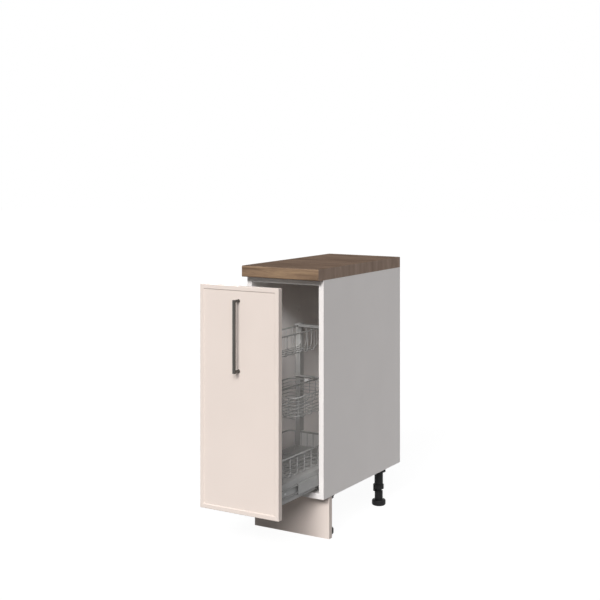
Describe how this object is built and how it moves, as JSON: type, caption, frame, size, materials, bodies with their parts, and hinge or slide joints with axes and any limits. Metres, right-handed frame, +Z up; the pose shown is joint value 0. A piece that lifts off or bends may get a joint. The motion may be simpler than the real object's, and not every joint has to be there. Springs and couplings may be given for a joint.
{
  "type": "pull-out base cabinet",
  "caption": "Narrow base kitchen cabinet on adjustable legs with a worktop, a full-height pull-out front, a bar handle and wire baskets on side runners.",
  "frame": {"origin": "on the floor, under the middle of the outline with the pull-out drawn out as pictured", "axes": "+Z up; -Y towards the front, the way the pull-out comes out; X across the width"},
  "size_m": [0.3, 0.871, 0.9],
  "materials": {
    "carcass_board": "matt white foil on chipboard",
    "dowel_wood": "bare beech",
    "fastener_zinc": "zinc plated",
    "worktop_oak": "matt brown woodgrain laminate",
    "front_foil": "matt magnolia foil on fibreboard",
    "leg_plastic": "black moulded",
    "runner_steel": "zinc plated",
    "frame_paint": "light grey powder coat",
    "light_plastic": "light grey moulded",
    "wire_chrome": "bright plated",
    "bumper_rubber": "soft clear",
    "handle_metal": "fine brushed dark nickel"
  },
  "bodies": {
    "cabinet": {"side_panel_left": "carcass_board", "side_panel_right": "carcass_board", "bottom_panel": "carcass_board", "front_top_rail": "carcass_board", "rear_top_rail": "carcass_board", "back_panel": "carcass_board", "dowels": "dowel_wood", "cam_fittings": "fastener_zinc", "worktop": "worktop_oak", "worktop_screws": "fastener_zinc", "plinth_board": "front_foil", "plinth_clips": "leg_plastic", "leg_socket_front_left": "leg_plastic", "leg_socket_front_right": "leg_plastic", "leg_socket_rear_left": "leg_plastic", "leg_socket_rear_right": "leg_plastic", "socket_screws": "fastener_zinc", "runner_rail_left": "runner_steel", "runner_rail_right": "runner_steel", "runner_rail_screws": "fastener_zinc"},
    "pull_out": {"runner_slide_left": "runner_steel", "runner_slide_right": "runner_steel", "runner_slide_screws": "fastener_zinc", "base_channel_left": "frame_paint", "base_channel_right": "frame_paint", "base_deck": "frame_paint", "base_front_plate": "frame_paint", "rear_plate": "frame_paint", "rear_post_left": "frame_paint", "rear_post_right": "frame_paint", "post_caps": "light_plastic", "front_bracket_left": "frame_paint", "front_bracket_right": "frame_paint", "crossbars": "wire_chrome", "carrier_rods": "wire_chrome", "rim_clips": "light_plastic", "lower_rim_rod": "wire_chrome", "lower_basket_wires": "wire_chrome", "middle_rim_rod": "wire_chrome", "middle_basket_wires": "wire_chrome", "middle_level_wires": "wire_chrome", "upper_rim_rods": "wire_chrome", "upper_basket_wires": "wire_chrome", "frame_screws": "fastener_zinc", "front_panel": "front_foil", "front_screws": "fastener_zinc", "front_bumpers": "bumper_rubber", "handle": "handle_metal", "handle_screws": "fastener_zinc"},
    "runner_middle_left_body": {"runner_middle_left": "runner_steel"},
    "runner_middle_right_body": {"runner_middle_right": "runner_steel"},
    "outer_cage_left_body": {"outer_cage_left": "runner_steel"},
    "outer_cage_right_body": {"outer_cage_right": "runner_steel"},
    "inner_cage_left_body": {"inner_cage_left": "runner_steel"},
    "inner_cage_right_body": {"inner_cage_right": "runner_steel"},
    "foot_front_left_body": {"foot_front_left": "leg_plastic"},
    "foot_front_right_body": {"foot_front_right": "leg_plastic"},
    "foot_rear_left_body": {"foot_rear_left": "leg_plastic"},
    "foot_rear_right_body": {"foot_rear_right": "leg_plastic"}
  },
  "joints": [
    {"name": "pull_out_slide", "type": "slide", "parent": "cabinet", "child": "pull_out", "axis": [0, -1, 0], "range_m": [-0.254, 0.216]},
    {"name": "runner_middle_left_slide", "type": "slide", "parent": "cabinet", "child": "runner_middle_left_body", "axis": [0, -1, 0], "range_m": [-0.127, 0.108]},
    {"name": "runner_middle_right_slide", "type": "slide", "parent": "cabinet", "child": "runner_middle_right_body", "axis": [0, -1, 0], "range_m": [-0.127, 0.108]},
    {"name": "outer_cage_left_slide", "type": "slide", "parent": "cabinet", "child": "outer_cage_left_body", "axis": [0, -1, 0], "range_m": [-0.0635, 0.054]},
    {"name": "outer_cage_right_slide", "type": "slide", "parent": "cabinet", "child": "outer_cage_right_body", "axis": [0, -1, 0], "range_m": [-0.0635, 0.054]},
    {"name": "inner_cage_left_slide", "type": "slide", "parent": "cabinet", "child": "inner_cage_left_body", "axis": [0, -1, 0], "range_m": [-0.1905, 0.162]},
    {"name": "inner_cage_right_slide", "type": "slide", "parent": "cabinet", "child": "inner_cage_right_body", "axis": [0, -1, 0], "range_m": [-0.1905, 0.162]},
    {"name": "foot_front_left_height", "type": "slide", "parent": "cabinet", "child": "foot_front_left_body", "axis": [0, 0, -1], "range_m": [-0.01, 0.015]},
    {"name": "foot_front_right_height", "type": "slide", "parent": "cabinet", "child": "foot_front_right_body", "axis": [0, 0, -1], "range_m": [-0.01, 0.015]},
    {"name": "foot_rear_left_height", "type": "slide", "parent": "cabinet", "child": "foot_rear_left_body", "axis": [0, 0, -1], "range_m": [-0.01, 0.015]},
    {"name": "foot_rear_right_height", "type": "slide", "parent": "cabinet", "child": "foot_rear_right_body", "axis": [0, 0, -1], "range_m": [-0.01, 0.015]}
  ],
  "couplings": [
    {"joint": "runner_middle_left_slide", "follows": "pull_out_slide", "ratio": 0.5},
    {"joint": "runner_middle_right_slide", "follows": "pull_out_slide", "ratio": 0.5},
    {"joint": "outer_cage_left_slide", "follows": "pull_out_slide", "ratio": 0.25},
    {"joint": "outer_cage_right_slide", "follows": "pull_out_slide", "ratio": 0.25},
    {"joint": "inner_cage_left_slide", "follows": "pull_out_slide", "ratio": 0.75},
    {"joint": "inner_cage_right_slide", "follows": "pull_out_slide", "ratio": 0.75}
  ]
}
